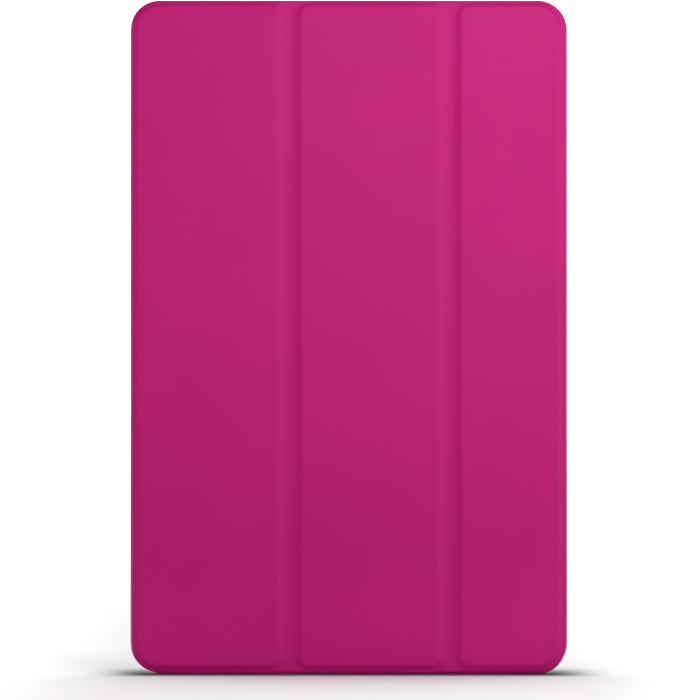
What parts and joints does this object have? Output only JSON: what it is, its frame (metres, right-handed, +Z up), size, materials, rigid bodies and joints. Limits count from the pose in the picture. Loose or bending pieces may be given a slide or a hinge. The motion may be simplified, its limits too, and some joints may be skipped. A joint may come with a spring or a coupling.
{
  "type": "tablet case",
  "caption": "Book-style tablet case in magenta leather: a folding panelled cover on a spine closes over a moulded tray.",
  "frame": {"origin": "middle of the bottom edge of the closed case, at the height of the surface it stands on", "axes": "+X from the spine to the free edge, +Y from the front cover to the back, +Z up along the long side"},
  "size_m": [0.165, 0.013, 0.2548],
  "materials": {
    "outer_leather": "fine grain, matt with a soft sheen",
    "lining_fabric": "brushed microfibre",
    "stiff_board": "pressed fibre",
    "magnet_metal": "plated",
    "tray_plastic": "matt moulded"
  },
  "bodies": {
    "back_case": {"tablet_tray": "tray_plastic", "tray_lining": "lining_fabric", "back_skin": "outer_leather", "tray_magnet_top": "magnet_metal", "tray_magnet_bottom": "magnet_metal"},
    "spine": {"spine_skin": "outer_leather", "spine_board": "stiff_board", "spine_lining": "lining_fabric"},
    "left_panel": {"left_panel_skin": "outer_leather", "left_panel_board": "stiff_board", "left_panel_lining": "lining_fabric"},
    "middle_panel": {"middle_panel_skin": "outer_leather", "middle_panel_board": "stiff_board", "middle_panel_lining": "lining_fabric"},
    "right_panel": {"right_panel_skin": "outer_leather", "right_panel_board": "stiff_board", "right_panel_lining": "lining_fabric", "closing_magnet_top": "magnet_metal", "closing_magnet_bottom": "magnet_metal", "sleep_magnet": "magnet_metal"}
  },
  "joints": [
    {"name": "back_fold", "type": "hinge", "parent": "back_case", "child": "spine", "pos_m": [-0.08122, 0.00522, 0.127], "axis": [0, 0, -1], "range_deg": [0, 90]},
    {"name": "cover_fold", "type": "hinge", "parent": "spine", "child": "left_panel", "pos_m": [-0.08122, -0.00522, 0.127], "axis": [0, 0, -1], "range_deg": [0, 90]},
    {"name": "first_fold", "type": "hinge", "parent": "left_panel", "child": "middle_panel", "pos_m": [-0.0223, -0.00485, 0.127], "axis": [0, 0, -1], "range_deg": [0, 120]},
    {"name": "second_fold", "type": "hinge", "parent": "middle_panel", "child": "right_panel", "pos_m": [0.0383, -0.00485, 0.127], "axis": [0, 0, -1], "range_deg": [0, 120]}
  ]
}
